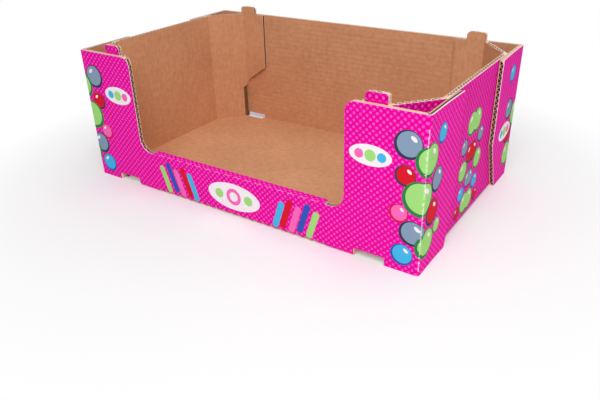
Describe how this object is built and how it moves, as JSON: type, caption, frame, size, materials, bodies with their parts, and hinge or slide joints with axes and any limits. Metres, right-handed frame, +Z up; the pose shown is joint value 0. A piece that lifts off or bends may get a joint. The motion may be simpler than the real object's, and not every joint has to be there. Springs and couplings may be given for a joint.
{
  "type": "stackable display tray",
  "caption": "Low open tray folded from one sheet of corrugated board, with a cut-out front above a rolled lip, hollow corner columns and stacking tabs.",
  "frame": {"origin": "centre of the tray's footprint, on the surface it stands on", "axes": "+X along the front wall to the right as seen from the front, +Y from the open front to the rear wall, +Z up"},
  "size_m": [0.4016, 0.24, 0.154],
  "materials": {
    "board": "printed magenta with pale dots outside, plain brown kraft inside"
  },
  "bodies": {
    "root": {"display_tray": "board"}
  },
  "joints": []
}
